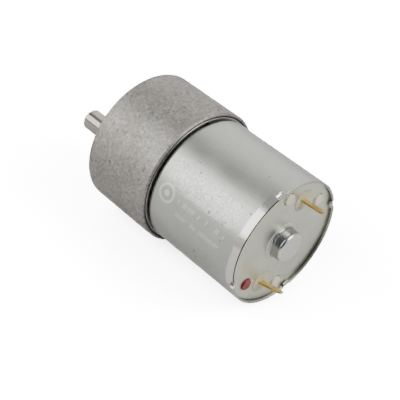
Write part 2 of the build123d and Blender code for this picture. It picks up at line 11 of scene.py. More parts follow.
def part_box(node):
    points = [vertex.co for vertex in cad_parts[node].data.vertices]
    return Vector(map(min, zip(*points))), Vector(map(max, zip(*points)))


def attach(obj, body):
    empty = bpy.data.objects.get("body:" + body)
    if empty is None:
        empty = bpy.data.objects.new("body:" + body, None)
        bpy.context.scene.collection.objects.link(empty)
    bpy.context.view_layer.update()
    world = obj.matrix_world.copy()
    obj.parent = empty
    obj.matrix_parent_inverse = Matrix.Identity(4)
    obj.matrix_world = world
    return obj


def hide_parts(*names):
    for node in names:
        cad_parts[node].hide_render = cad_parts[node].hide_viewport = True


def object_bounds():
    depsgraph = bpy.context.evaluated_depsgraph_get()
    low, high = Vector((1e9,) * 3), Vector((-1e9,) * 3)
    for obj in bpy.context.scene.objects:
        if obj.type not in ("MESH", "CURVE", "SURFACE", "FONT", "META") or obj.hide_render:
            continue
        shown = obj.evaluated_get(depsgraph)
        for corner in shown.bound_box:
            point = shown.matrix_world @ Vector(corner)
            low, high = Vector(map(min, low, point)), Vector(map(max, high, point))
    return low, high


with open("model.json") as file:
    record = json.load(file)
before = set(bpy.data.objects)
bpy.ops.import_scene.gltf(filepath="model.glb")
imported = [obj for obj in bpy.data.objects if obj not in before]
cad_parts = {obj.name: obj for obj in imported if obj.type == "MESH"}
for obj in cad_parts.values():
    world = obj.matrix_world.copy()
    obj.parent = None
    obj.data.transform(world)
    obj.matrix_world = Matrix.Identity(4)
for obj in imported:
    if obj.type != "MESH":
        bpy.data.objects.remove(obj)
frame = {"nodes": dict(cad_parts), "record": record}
cad_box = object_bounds()

MM = 1000.0  # millimetres in a metre; the meshes are built in millimetres

record = frame["record"]
mounts = {mount["name"]: mount for mount in record["mounts"]}


# ================= places read from the frame, in millimetres =================
def span(node):
    """Lowest and highest corner of a CAD node."""
    low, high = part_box(node)
    return low * MM, high * MM


def centre_of(node):
    """Middle of a CAD node seen along the motor axis, as (y, z)."""
    low, high = span(node)
    return ((low.y + high.y) / 2, (low.z + high.z) / 2)


def spot(radius, angle):
    """Point (y, z) at a radius and an angle in degrees from +Y towards +Z."""
    return (radius * cos(radians(angle)), radius * sin(radians(angle)))


gearbox_r = span("gearbox_housing")[1].y
gearbox_rear = span("gearbox_housing")[0].x
boss_front = span("gearbox_housing")[1].x
boss_r = mounts["output_boss"]["dims"]["r_mm"]
plate_front = span("rear_plate")[1].x
plate_r = span("rear_plate")[1].y
output_axis = tuple(value * MM for value in mounts["output_shaft"]["pos_m"][1:])
output_r = mounts["output_shaft"]["dims"]["r_mm"]
output_rear, output_tip = (corner.x for corner in span("output_shaft"))
mount_pcd_r = mounts["mounting_holes"]["dims"]["pcd_mm"] / 2
mount_hole_r = mounts["mounting_holes"]["dims"]["hole_r_mm"]
can_r = span("motor_can")[1].y
can_rear, pilot_front = (corner.x for corner in span("motor_can"))
end_r = span("end_plate")[1].y
rear_boss_end, end_inner = (corner.x for corner in span("end_plate"))
terminal_angle = degrees(atan2(*reversed(centre_of("insulator_negative"))))
screw_rear = span("cover_screws")[0].x

cavity_r = gearbox_r - 1.5
front_wall = 3.5
bushing_r = 4.25
inner_boss = 1.5
screw_angles = (90, 210, 330)
column_r, screw_r, screw_head_r = 2.5, 1.5, 2.45
can_inner_r = can_r - 1.0
can_corner = 1.5
seat_r = end_r + 0.01
end_outer = end_inner - 1.2
rear_boss_r = 4.1
insulator_r = 2.8
peg_r = span("polarity_dot")[1].y - centre_of("polarity_dot")[0]
peg_circle_r = hypot(*centre_of("polarity_dot"))
peg_angles = [terminal_angle + turn for turn in (-28, 28, 152, 208)]
crimps = {75: 0.6, 165: 0.22, 255: 0.22, 345: 0.6}
rolled_arc = (-15, 75)


# ================= mesh helpers =================
def smooth(value, low, high):
    """0 below low, 1 above high, eased between."""
    share = min(1, max(0, (value - low) / (high - low)))
    return share * share * (3 - 2 * share)


def apart(angle, other):
    """How many degrees lie between two directions."""
    return abs((angle - other + 180) % 360 - 180)


def piece_from(name, points, faces):
    """Mesh object from points in millimetres. It is scaled to metres by done()."""
    mesh = bpy.data.meshes.new(name)
    mesh.from_pydata(points, [], faces)
    shape = bmesh.new()
    shape.from_mesh(mesh)
    bmesh.ops.remove_doubles(shape, verts=shape.verts, dist=1e-5)
    bmesh.ops.recalc_face_normals(shape, faces=shape.faces)
    shape.to_mesh(mesh)
    shape.free()
    piece = bpy.data.objects.new(name, mesh)
    bpy.context.scene.collection.objects.link(piece)
    return piece


def rounded(corners, steps=5):
    """Outline of (x, r, radius) corners with each corner replaced by an arc of its radius."""
    points = []
    for index, (x, r, radius) in enumerate(corners):
        if radius == 0 or index in (0, len(corners) - 1):
            points.append((x, r))
            continue
        here = Vector((x, r))
        before = (Vector(corners[index - 1][:2]) - here).normalized()
        after = (Vector(corners[index + 1][:2]) - here).normalized()
        half = before.angle(after) / 2
        middle = here + (before + after).normalized() * (radius / sin(half))
        first = (here + before * (radius / tan(half)) - middle).normalized()
        last = (here + after * (radius / tan(half)) - middle).normalized()
        for step in range(steps + 1):
            points.append(tuple(middle + first.slerp(last, step / steps) * radius))
    return points


def lathe(name, outline, centre=(0, 0), angles=180, closed=False, warp=None):
    """Turned piece: the outline of (x, r) points goes round the line along X through centre."""
    if isinstance(angles, int):
        angles = [360 * step / angles for step in range(angles)]
    points, rings, faces = [], [], []
    for x, r in outline:
        turns = angles if r > 1e-6 else [0]
        ring = []
        for angle in turns:
            px, pr = warp(x, r, angle) if warp else (x, r)
            y, z = spot(pr, angle)
            ring.append(len(points))
            points.append((px, centre[0] + y, centre[1] + z))
        rings.append(ring)
    pairs = list(zip(rings, rings[1:]))
    if closed:
        pairs.append((rings[-1], rings[0]))
    for one, other in pairs:
        for step in range(len(angles)):
            after = (step + 1) % len(angles)
            corners = [one[step % len(one)], one[after % len(one)]]
            corners += [other[after % len(other)], other[step % len(other)]]
            corners = list(dict.fromkeys(corners))
            if len(corners) > 2:
                faces.append(corners)
    return piece_from(name, points, faces)


def frustum(name, x0, half0, x1, half1, centre, turn=0):
    """Tapered block along X, with half sizes (width, height) at each end, turned about centre."""
    points = []
    for x, (wide, high) in ((x0, half0), (x1, half1)):
        for y, z in ((-wide, -high), (wide, -high), (wide, high), (-wide, high)):
            reach, angle = hypot(y, z), degrees(atan2(z, y)) + turn
            dy, dz = spot(reach, angle)
            points.append((x, centre[0] + dy, centre[1] + dz))
    sides = [(0, 1, 2, 3), (4, 5, 6, 7)]
    sides += [(step, (step + 1) % 4, (step + 1) % 4 + 4, step + 4) for step in range(4)]
    return piece_from(name, points, sides)


def settle(piece):
    """Apply the modifiers of a piece to its mesh."""
    graph = bpy.context.evaluated_depsgraph_get()
    mesh = bpy.data.meshes.new_from_object(piece.evaluated_get(graph))
    piece.modifiers.clear()
    piece.data = mesh
    return piece


def combine(piece, tools, operation):
    """Join tools to a piece or cut them out of it, and remove them."""
    for tool in tools:
        modifier = piece.modifiers.new("combine", "BOOLEAN")
        modifier.operation = operation
        modifier.solver = "EXACT"
        modifier.object = tool
        settle(piece)
        bpy.data.objects.remove(tool)
    return piece


def done(piece, slot_name, body, *nodes, bevel=0.0, sharp=32):
    """Round the edges, shade smoothly, scale to metres, and put the piece in place of its CAD nodes."""
    if bevel:
        modifier = piece.modifiers.new("edges", "BEVEL")
        modifier.width = bevel
        modifier.segments = 2
        modifier.limit_method = "ANGLE"
        modifier.angle_limit = radians(40)
        settle(piece)
    piece.data.shade_smooth()
    piece.data.set_sharp_from_angle(angle=radians(sharp))
    modifier = piece.modifiers.new("even", "WEIGHTED_NORMAL")
    modifier.keep_sharp = True
    settle(piece)
    piece.data.transform(Matrix.Scale(1 / MM, 4))
    piece.data.materials.clear()
    piece.data.materials.append(material_of(slot_name))
    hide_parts(*nodes)
    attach(piece, body)
    return piece


# ================= materials =================
class Recipe:
    """Node tree of a material or the world. Its methods add a node and return the socket that comes out."""

    def __init__(self, owner, coordinates, scale):
        owner.use_nodes = True
        self.owner = owner
        self.tree = owner.node_tree
        self.tree.nodes.clear()
        self.place = self.scaled(self.add("ShaderNodeTexCoord").outputs[coordinates], scale)
        axes = self.add("ShaderNodeSeparateXYZ")
        self.put(axes.inputs[0], self.place)
        self.x, self.y, self.z = axes.outputs

    def add(self, kind, **settings):
        """New node."""
        node = self.tree.nodes.new(kind)
        for key, value in settings.items():
            setattr(node, key, value)
        return node

    def put(self, socket, value):
        """Link a socket to another one, or give it a value."""
        if isinstance(value, bpy.types.NodeSocket):
            self.tree.links.new(value, socket)
        elif isinstance(value, tuple) and len(value) == 3 and socket.type == "RGBA":
            socket.default_value = (*value, 1)
        else:
            socket.default_value = value

    def scaled(self, place, amount):
        """Coordinates times a number or, for a tuple, times a number for each axis."""
        node = self.add("ShaderNodeVectorMath", operation="MULTIPLY")
        self.put(node.inputs[0], place)
        self.put(node.inputs[1], amount if isinstance(amount, tuple) else (amount,) * 3)
        return node.outputs[0]

    def maths(self, operation, first, second=0.0, third=0.0):
        """Result of a sum on numbers."""
        node = self.add("ShaderNodeMath", operation=operation)
        for socket, value in zip(node.inputs, (first, second, third)):
            self.put(socket, value)
        return node.outputs[0]

    def combined(self, x, y, z):
        """Coordinates from three numbers."""
        node = self.add("ShaderNodeCombineXYZ")
        for socket, value in zip(node.inputs, (x, y, z)):
            self.put(socket, value)
        return node.outputs[0]

    def around(self, centre=(0.0, 0.0)):
        """Distance from the line along X through centre, and the angle about it in degrees."""
        y = self.maths("SUBTRACT", self.y, centre[0])
        z = self.maths("SUBTRACT", self.z, centre[1])
        square = self.maths("MULTIPLY_ADD", y, y, self.maths("MULTIPLY", z, z))
        turn = self.maths("MULTIPLY", self.maths("ARCTAN2", z, y), 180 / pi)
        return self.maths("SQRT", square), turn

    def noise(self, scale, detail=2.0, rough=0.5, place=None, shift=0.0):
        """Cloudy noise from 0 to 1, with scale in features per millimetre."""
        node = self.add("ShaderNodeTexNoise", noise_dimensions="4D")
        self.put(node.inputs["Vector"], place or self.place)
        self.put(node.inputs["W"], shift)
        self.put(node.inputs["Scale"], scale)
        self.put(node.inputs["Detail"], detail)
        self.put(node.inputs["Roughness"], rough)
        return node.outputs[0]

    def grade(self, value, low, high, start=0.0, end=1.0):
        """Value eased from start to end while it goes from low to high."""
        node = self.add("ShaderNodeMapRange", interpolation_type="SMOOTHSTEP")
        for socket, number in zip(node.inputs, (value, low, high, start, end)):
            self.put(socket, number)
        return node.outputs[0]

    def band(self, value, low, high, edge):
        """1 where value lies between low and high, 0 outside, eased over edge."""
        rise = self.grade(value, low - edge, low + edge)
        fall = self.grade(value, high - edge, high + edge, 1.0, 0.0)
        return self.maths("MULTIPLY", rise, fall)

    def mix(self, share, first, second):
        """Colour between first and second."""
        node = self.add("ShaderNodeMix", data_type="RGBA")
        for index, value in ((0, share), (6, first), (7, second)):
            self.put(node.inputs[index], value)
        return node.outputs[2]

    def bump(self, height, depth, before=None):
        """Surface normal raised by height times depth millimetres."""
        node = self.add("ShaderNodeBump")
        self.put(node.inputs["Height"], height)
        self.put(node.inputs["Strength"], 1.0)
        self.put(node.inputs["Distance"], depth / MM)
        if before:
            self.put(node.inputs["Normal"], before)
        return node.outputs[0]

    def surface(self, colour, rough, metal=1.0, normal=None, **extra):
        """Finish the material."""
        shader = self.add("ShaderNodeBsdfPrincipled")
        self.put(shader.inputs["Base Color"], colour)
        self.put(shader.inputs["Roughness"], rough)
        self.put(shader.inputs["Metallic"], metal)
        if normal:
            self.put(shader.inputs["Normal"], normal)
        for key, value in extra.items():
            self.put(shader.inputs[key.replace("_", " ").title()], value)
        out = self.add("ShaderNodeOutputMaterial")
        self.put(out.inputs["Surface"], shader.outputs[0])
        return self.owner

    def seen_or_passed(self, seen, passed):
        """One number for what is seen directly, another for the light that is passed on."""
        direct = self.add("ShaderNodeLightPath").outputs["Is Camera Ray"]
        return self.grade(direct, 0.0, 1.0, passed, seen)


def zinc_casting(r):
    """Sand-blasted casting: warm grey, blotched, with dark specks and a coarse grain."""
    blotch = r.noise(0.14, 3, 0.6)
    clouds = r.noise(0.5, 3, 0.6, shift=3.0)
    grain = r.noise(1.7, 4, 0.75, shift=5.0)
    colour = r.mix(r.grade(blotch, 0.38, 0.62), (0.335, 0.316, 0.286), (0.385, 0.366, 0.336))
    colour = r.mix(r.grade(clouds, 0.5, 0.66, 0, 0.5), colour, (0.40, 0.335, 0.295))
    colour = r.mix(r.grade(grain, 0.5, 0.64, 0, 0.6), colour, (0.15, 0.145, 0.14))
    colour = r.mix(r.grade(grain, 0.48, 0.36, 0, 0.6), colour, (0.60, 0.59, 0.57))
    specks = r.grade(r.noise(1.1, 1, 0.4, shift=9.0), 0.66, 0.71, 0, 0.6)
    colour = r.mix(specks, colour, (0.09, 0.085, 0.08))
    rough = r.grade(clouds, 0.3, 0.7, 0.44, 0.56)
    pits = r.noise(2.6, 4, 0.8, shift=2.0)
    return r.surface(colour, rough, 0.9, r.bump(pits, 0.06, r.bump(blotch, 0.15)))


def can_marks(r, turn):
    """Mask of the etched plate: three rows of plain slanted strokes and a plain ring beside them."""
    marks = 0.0
    slanted = r.maths("MULTIPLY_ADD", turn, 0.12, r.x)
    strokes = r.grade(r.maths("PINGPONG", slanted, 0.32), 0.12, 0.2)
    for row, half, fine in ((31.5, 2.3, 0.5), (22.0, 2.1, 0.7), (11.2, 1.7, 0.6)):
        across = r.band(turn, row - half, row + half, 0.3)
        groups = r.grade(r.noise(fine, 0, 0.5, place=r.combined(slanted, row, 0.0)), 0.38, 0.42)
        marks = r.maths("MAXIMUM", marks, r.maths("MULTIPLY", across, r.maths("MULTIPLY", groups, strokes)))
    marks = r.maths("MULTIPLY", marks, r.band(r.x, -46.0, -30.4, 0.1))
    along = r.maths("ADD", r.x, 26.5)
    over = r.maths("MULTIPLY", r.maths("SUBTRACT", turn, 22.0), can_r * pi / 180)
    reach = r.maths("SQRT", r.maths("MULTIPLY_ADD", along, along, r.maths("MULTIPLY", over, over)))
    ring = r.maths("MAXIMUM", r.band(reach, 1.9, 2.5, 0.08), r.band(reach, -1.0, 0.8, 0.08))
    return r.maths("MAXIMUM", marks, ring)


def rolled_mask(r, turn, distance):
    """Mask of the band that the rolling tool has burnished."""
    arc = r.band(turn, *rolled_arc, 0.6)
    wave = r.maths("MULTIPLY", r.noise(0.3, 1, shift=4.0), 0.5)
    depth = r.maths("ADD", r.x, wave)
    ends = r.grade(depth, can_rear + 2.3, can_rear + 2.5, 1, 0)
    outside = r.grade(distance, seat_r + 0.02, seat_r + 0.08)
    return r.maths("MULTIPLY", r.maths("MULTIPLY", arc, ends), outside)


def can_steel(r):
    """Satin plated can: brushed skin, etched marks and a burnished rolled band, with painted glints where the key
    light's highlight falls, and painted shade in the seam behind the gearbox, in the rim's recess and along the rim's
    inner edge.
    """
    distance, turn = r.around()
    long = r.noise(1.0, 3, 0.6, place=r.scaled(r.place, (0.25, 1.2, 1.2)))
    haze = r.noise(0.12, 2, 0.5, shift=1.0)
    sparkle = r.noise(2.6, 3, 0.8, shift=6.0)
    colour = r.mix(r.grade(haze, 0.35, 0.65), (0.53, 0.54, 0.49), (0.575, 0.582, 0.53))
    colour = r.mix(r.grade(long, 0.35, 0.65, 0, 0.25), colour, (0.47, 0.48, 0.45))
    # Painted glints: in this strip, where the key light's highlight falls along the can, the high grains of the
    # sparkle noise are painted near white and the low ones dark; the strip's bump texture further down is real.
    blasted = r.maths("MULTIPLY", r.band(turn, 28.0, 53.0, 4.0), r.band(r.x, -47.0, -24.0, 1.5))
    colour = r.mix(r.maths("MULTIPLY", blasted, r.grade(sparkle, 0.48, 0.60, 0, 0.75)), colour, (0.84, 0.84, 0.81))
    colour = r.mix(r.maths("MULTIPLY", blasted, r.grade(sparkle, 0.46, 0.38, 0, 0.8)), colour, (0.30, 0.30, 0.29))
    marks = can_marks(r, turn)
    colour = r.mix(r.maths("MULTIPLY", marks, 0.75), colour, (0.88, 0.88, 0.85))
    specks = r.grade(r.noise(0.8, 1, 0.3, shift=12.0), 0.74, 0.77, 0, 0.7)
    colour = r.mix(specks, colour, (0.16, 0.16, 0.16))
    band = rolled_mask(r, turn, distance)
    colour = r.mix(band, colour, (0.86, 0.81, 0.75))
    # Painted shade: the can is painted nearly black just behind the gearbox, in the crevice between the two parts.
    seam = r.grade(r.x, gearbox_rear - 0.3, gearbox_rear - 0.85, 0.85, 0)
    colour = r.mix(seam, colour, (0.03, 0.03, 0.03))
    # Painted shade: the deeper part of the rim's inner wall, in the recess over the end plate, is painted dark all
    # round except beside the crimp at 75 degrees.
    wall = r.maths("MULTIPLY", r.band(distance, seat_r - 0.2, seat_r + 0.1, 0.08), r.band(r.x, can_rear + 0.42, can_rear + 1.5, 0.12))
    wall = r.maths("MULTIPLY", wall, r.grade(r.maths("ABSOLUTE", r.maths("SUBTRACT", turn, 75.0)), 4.0, 8.0, 0, 0.9))
    colour = r.mix(wall, colour, (0.15, 0.15, 0.14))
    # Painted shade: a thin near-black line on the rim's rear face along its inner edge, over the rolled arc.
    edge = r.maths("MULTIPLY", r.band(turn, *rolled_arc, 0.6), r.grade(distance, seat_r + 0.24, seat_r + 0.16))
    colour = r.mix(r.maths("MULTIPLY", edge, r.grade(r.x, can_rear + 0.3, can_rear + 0.2)), colour, (0.05, 0.05, 0.05))
    rough = r.grade(haze, 0.3, 0.7, 0.34, 0.40)
    rough = r.maths("SUBTRACT", rough, r.maths("MULTIPLY", band, 0.19))
    rough = r.maths("MULTIPLY_ADD", marks, 0.12, rough)
    texture = r.maths("MULTIPLY", sparkle, r.maths("MULTIPLY_ADD", blasted, 0.7, 0.3))
    texture = r.maths("MULTIPLY", texture, r.maths("MULTIPLY_ADD", band, -0.8, 1.0))
    normal = r.bump(texture, 0.02, r.bump(long, 0.02))
    return r.surface(colour, rough, 1.0, normal)


def end_plate_steel(r):
    """Satin end plate with a brighter top on its drawn boss, whose burnished wall is painted darker: painted shade
    that stands in for the dark reflection on that wall.
    """
    distance, _ = r.around()
    haze = r.noise(0.2, 3, 0.6, shift=7.0)
    grain = r.noise(3.0, 3, 0.7, shift=8.0)
    colour = r.mix(r.grade(haze, 0.35, 0.65), (0.765, 0.775, 0.64), (0.84, 0.845, 0.715))
    colour = r.mix(r.grade(grain, 0.55, 0.7, 0, 0.15), colour, (0.5, 0.5, 0.46))
    boss = r.grade(distance, rear_boss_r + 0.15, rear_boss_r + 0.6, 1, 0)
    colour = r.mix(boss, colour, (0.88, 0.87, 0.80))
    # Painted shade: the boss's side wall is painted dark with streaks all round, standing in for the dark reflection
    # it shows; only its lower roughness below is the real burnish.
    drawn = r.maths("MULTIPLY", r.band(distance, rear_boss_r - 0.3, rear_boss_r + 0.25, 0.25), r.grade(r.x, rear_boss_end + 0.3, rear_boss_end + 0.9))
    streaks = r.noise(1.0, 2, 0.6, place=r.scaled(r.place, (0.2, 2.0, 2.0)), shift=4.0)
    colour = r.mix(drawn, colour, r.mix(streaks, (0.27, 0.28, 0.31), (0.43, 0.43, 0.44)))
    rough = r.maths("SUBTRACT", r.grade(grain, 0.3, 0.7, 0.34, 0.42), r.maths("MULTIPLY", boss, 0.14))
    rough = r.maths("MULTIPLY_ADD", drawn, -0.06, rough)
    return r.surface(colour, rough, 1.0, r.bump(grain, 0.006, r.bump(haze, 0.03)))


def turned_steel(r, colour, rough, centre=(0.0, 0.0), pitch=6.0):
    """Steel with fine marks round the axis through centre and a faint stain."""
    distance, _ = r.around(centre)
    marks = r.noise(1.0, 3, 0.7, place=r.combined(r.maths("MULTIPLY", r.x, pitch), distance, 0.0))
    stain = r.noise(0.5, 2, 0.5, shift=2.5)
    dark = tuple(part * 0.72 for part in colour)
    tone = r.mix(r.grade(stain, 0.35, 0.7, 0, 0.5), colour, dark)
    tone = r.mix(r.grade(marks, 0.45, 0.7, 0, 0.35), tone, dark)
    return r.surface(tone, r.grade(marks, 0.3, 0.7, rough, rough + 0.1), 1.0, r.bump(marks, 0.006))


def gear_steel(r):
    """Hobbed gear steel under a thin film of grease."""
    cut = r.noise(2.5, 2, 0.6, place=r.scaled(r.place, (0.3, 2.0, 2.0)))
    grease = r.noise(0.5, 3, 0.6, shift=4.0)
    colour = r.mix(r.grade(cut, 0.4, 0.6), (0.42, 0.41, 0.39), (0.55, 0.54, 0.52))
    colour = r.mix(r.grade(grease, 0.5, 0.65, 0, 0.6), colour, (0.35, 0.29, 0.18))
    return r.surface(colour, r.grade(grease, 0.4, 0.65, 0.38, 0.2), 1.0, r.bump(cut, 0.01))


def sintered(r, colour, rough=0.5, metal=1.0, grain=4.0):
    """Pressed powder metal or ceramic: an even colour with fine pores."""
    pores = r.noise(grain, 4, 0.8)
    cloud = r.noise(0.4, 2, 0.5, shift=3.5)
    dark = tuple(part * 0.55 for part in colour)
    tone = r.mix(r.grade(pores, 0.5, 0.68, 0, 0.8), colour, dark)
    tone = r.mix(r.grade(cloud, 0.4, 0.7, 0, 0.3), tone, dark)
    return r.surface(tone, rough, metal, r.bump(pores, 0.02))


def moulded(r, colour, rough=0.4, glow=0.0):
    """Moulded plastic with a soft surface and slight clouding; glow is how much light it carries."""
    cloud = r.noise(0.7, 3, 0.6)
    skin = r.noise(5.0, 2, 0.6, shift=1.5)
    shade = tuple(part * 0.86 for part in colour)
    tone = r.mix(r.grade(cloud, 0.35, 0.65), colour, shade)
    finish = {"Subsurface_Weight": glow, "Subsurface_Scale": 1.0 / MM} if glow else {}
    return r.surface(tone, r.grade(skin, 0.3, 0.7, rough, rough + 0.1), 0.0, r.bump(skin, 0.006), **finish)


def terminal_brass(r):
    """Stamped brass blade: rolled grain along the strip, darker spots and a duller skin in places."""
    grain = r.noise(2.0, 3, 0.7, place=r.scaled(r.place, (0.35, 3.0, 3.0)))
    tarnish = r.noise(0.9, 3, 0.6, shift=6.5)
    colour = r.mix(r.grade(grain, 0.4, 0.65), (0.96, 0.71, 0.22), (0.85, 0.59, 0.14))
    colour = r.mix(r.grade(tarnish, 0.56, 0.7, 0, 0.7), colour, (0.42, 0.29, 0.11))
    lean = radians(terminal_angle + 90)
    sideways = r.maths("MULTIPLY_ADD", r.y, cos(lean), r.maths("MULTIPLY", r.z, sin(lean)))
    sheared = r.grade(r.maths("ABSOLUTE", sideways), 1.12, 1.19, 0, 0.5)
    colour = r.mix(sheared, colour, (0.36, 0.25, 0.09))
    return r.surface(colour, r.grade(grain, 0.3, 0.7, 0.24, 0.36), 1.0, r.bump(grain, 0.01))


def red_mark(r):
    """Brushed-on red paint, thinner in places."""
    thick = r.noise(1.4, 3, 0.6)
    colour = r.mix(r.grade(thick, 0.4, 0.62), (0.22, 0.022, 0.03), (0.34, 0.06, 0.06))
    return r.surface(colour, r.grade(thick, 0.35, 0.65, 0.4, 0.55), 0.0, r.bump(thick, 0.04))


def laminations(r):
    """Stack of punched sheets, seen as fine lines across the axis."""
    sheets = r.maths("PINGPONG", r.x, 0.25)
    scale = r.noise(1.5, 3, 0.6)
    colour = r.mix(r.grade(sheets, 0.03, 0.1), (0.14, 0.14, 0.15), (0.42, 0.42, 0.44))
    colour = r.mix(r.grade(scale, 0.5, 0.7, 0, 0.5), colour, (0.25, 0.23, 0.22))
    return r.surface(colour, 0.45, 0.9, r.bump(sheets, 0.05))


def copper_wire(r):
    """Enamelled wire laid side by side round each arm of the core."""
    distance, _ = r.around()
    strands = r.maths("PINGPONG", distance, 0.15)
    varnish = r.noise(1.0, 2, 0.5)
    colour = r.mix(r.grade(strands, 0.0, 0.1), (0.22, 0.06, 0.02), (0.62, 0.24, 0.10))
    colour = r.mix(r.grade(varnish, 0.5, 0.7, 0, 0.3), colour, (0.5, 0.16, 0.05))
    return r.surface(colour, 0.3, 0.8, r.bump(strands, 0.06))


RECIPES = {
    "zinc_casting": zinc_casting,
    "plate_steel": lambda r: turned_steel(r, (0.44, 0.44, 0.42), 0.34),
    "screw_steel": lambda r: turned_steel(r, (0.45, 0.45, 0.46), 0.34),
    "bronze": lambda r: sintered(r, (0.52, 0.36, 0.18)),
    "washer_steel": lambda r: turned_steel(r, (0.52, 0.52, 0.52), 0.3),
    "ground_steel": lambda r: turned_steel(r, (0.62, 0.62, 0.62), 0.22),
    "shaft_steel": lambda r: turned_steel(r, (0.525, 0.475, 0.41), 0.10, output_axis),
    "gear_steel": gear_steel,
    "can_steel": can_steel,
    "end_plate_steel": end_plate_steel,
    "ferrite": lambda r: sintered(r, (0.07, 0.07, 0.075), 0.5, 0.0, 2.5),
    "white_nylon": lambda r: moulded(r, (0.97, 0.905, 0.72), 0.36, 0.25),
    "cream_nylon": lambda r: moulded(r, (0.68, 0.665, 0.46), 0.34, 0.3),
    "red_mark": red_mark,
    "terminal_brass": terminal_brass,
    "carbon": lambda r: sintered(r, (0.05, 0.045, 0.04), 0.42, 0.3, 6.0),
    "lamination_steel": laminations,
    "copper_wire": copper_wire,
    "copper": lambda r: turned_steel(r, (0.72, 0.36, 0.2), 0.26),
    "dark_plastic": lambda r: moulded(r, (0.035, 0.028, 0.026), 0.42),
}
materials = {}


def material_of(slot_name):
    """The material of a slot, made once."""
    if slot_name not in materials:
        blank = bpy.data.materials.new("look_" + slot_name)
        materials[slot_name] = RECIPES[slot_name](Recipe(blank, "Object", MM))
    return materials[slot_name]


def dress_cad_nodes():
    """Give every CAD node the material of its slot."""
    for part in record["subparts"]:
        node = frame["nodes"][part["node"]]
        for slot in node.material_slots:
            slot.material = material_of(part["material_slot"])


# ================= gearbox =================
def tapped_hole(centre):
    """Cutter for an M3 tapped hole in the front face, with its thread rings and lead-in."""
    pitch, thread_depth, lead = 0.5, 0.2, 0.3
    outline = [(0.5, 0), (0.5, mount_hole_r + lead + 0.5), (-lead, mount_hole_r)]
    turns = int((front_wall - lead) / pitch)
    for turn in range(turns):
        x = -lead - pitch * turn
        outline += [(x - 0.2, mount_hole_r + thread_depth), (x - 0.3, mount_hole_r + thread_depth)]
        outline += [(x - pitch, mount_hole_r)]
    outline += [(-front_wall - 0.3, mount_hole_r), (-front_wall - 0.3, 0)]
    return lathe("thread", outline, centre, 24)


def screw_hole(centre):
    """Cutter for a countersunk clearance hole from the front face."""
    rim, shank = screw_head_r + 0.1, screw_r + 0.1
    outline = [(0.5, 0), (0.5, rim + 0.15), (0.0, rim + 0.08), (-0.1, rim), (-1.1, shank)]
    outline += [(gearbox_rear - 1, shank), (gearbox_rear - 1, 0)]
    return lathe("countersink", outline, centre, 48)


def casting():
    """Die-cast cup with its columns, shaft boss, tapped holes and countersinks."""
    pocket_r = plate_r + 0.01
    outline = rounded(
        [
            (0, 0, 0),
            (0, gearbox_r, 0.6),
            (gearbox_rear + 0.4, gearbox_r, 0.2),
            (gearbox_rear, gearbox_r - 0.35, 0.15),
            (gearbox_rear, pocket_r, 0.15),
            (plate_front, pocket_r, 0),
            (plate_front, cavity_r, 0),
            (-front_wall, cavity_r, 1.0),
            (-front_wall, 0, 0),
        ]
    )
    cup = lathe("casting", outline, angles=288)
    columns = []
    for angle in screw_angles:
        centre = spot(mount_pcd_r, angle)
        column = [(plate_front, 0), (plate_front, column_r), (-front_wall + 0.5, column_r), (-front_wall + 0.5, 0)]
        columns.append(lathe("column", column, centre, 48))
    foot = 0.35
    back = -front_wall - inner_boss
    boss = [(back, 0), (back, boss_r), (-0.5, boss_r), (-0.5, boss_r + foot), (-0.02, boss_r + foot)]
    for step in range(1, 5):
        angle = step / 4 * pi / 2
        boss.append((foot * (1 - cos(angle)), boss_r + foot * (1 - sin(angle))))
    boss += rounded([(foot, boss_r, 0), (boss_front, boss_r, 0.45), (boss_front, 0, 0)])[1:]
    combine(cup, columns + [lathe("boss", boss, output_axis, 96)], "UNION")
    bore = [(back - 1, 0), (back - 1, bushing_r), (boss_front - 0.25, bushing_r)]
    bore += [(boss_front + 0.5, bushing_r + 0.75), (boss_front + 0.5, 0)]
    cutters = [lathe("bore", bore, output_axis, 72)]
    cutters += [tapped_hole(spot(mount_pcd_r, step * 60)) for step in range(6)]
    cutters += [screw_hole(spot(mount_pcd_r, angle)) for angle in screw_angles]
    combine(cup, cutters, "DIFFERENCE")
    return done(cup, "zinc_casting", "housing", "gearbox_housing")


def gearbox_plate():
    """Round plate behind the gears, a hair smaller than its pocket so that the seam shows."""
    edge_r = plate_r - 0.28
    front, rear = plate_front, gearbox_rear
    outline = rounded(
        [(front, 4.01, 0), (front, edge_r, 0.1), (rear, edge_r, 0.22), (rear, 4.01, 0)]
    )
    plate = lathe("gearbox_plate", outline, angles=240, closed=True)
    holes = []
    for angle in screw_angles:
        holes.append((spot(mount_pcd_r, angle), screw_r + 0.01))
    for node in ("gear_pin_a", "gear_pin_b"):
        holes.append((centre_of(node), 1.01))
    holes.append((output_axis, 1.53))
    cutters = []
    for centre, radius in holes:
        hole = [(front + 1, 0), (front + 1, radius), (rear - 1, radius), (rear - 1, 0)]
        cutters.append(lathe("hole", hole, centre, 36))
    for angle in (60, 240):
        sink = [(front + 0.5, 0), (front + 0.5, 3.3), (front - 1.3, 1.6), (rear - 1, 1.6), (rear - 1, 0)]
        cutters.append(lathe("sink", sink, spot(12.5, angle), 36))
    combine(plate, cutters, "DIFFERENCE")
    return done(plate, "plate_steel", "housing", "rear_plate")


def cover_screw(centre, turn):
    """Countersunk screw with a tapered cross recess."""
    outline = rounded(
        [
            (-0.1, 0, 0),
            (-0.1, screw_head_r, 0.06),
            (-0.22, screw_head_r, 0.06),
            (-1.1, screw_r, 0),
            (screw_rear + 0.3, screw_r, 0),
            (screw_rear, screw_r - 0.3, 0),
            (screw_rear, 0, 0),
        ],
        3,
    )
    screw = lathe("screw", outline, centre, 60)
    bars = []
    for quarter in (0, 90):
        bars.append(frustum("slot", 0.1, (1.5, 0.34), -1.0, (0.55, 0.2), centre, turn + quarter))
    return combine(screw, bars, "DIFFERENCE")


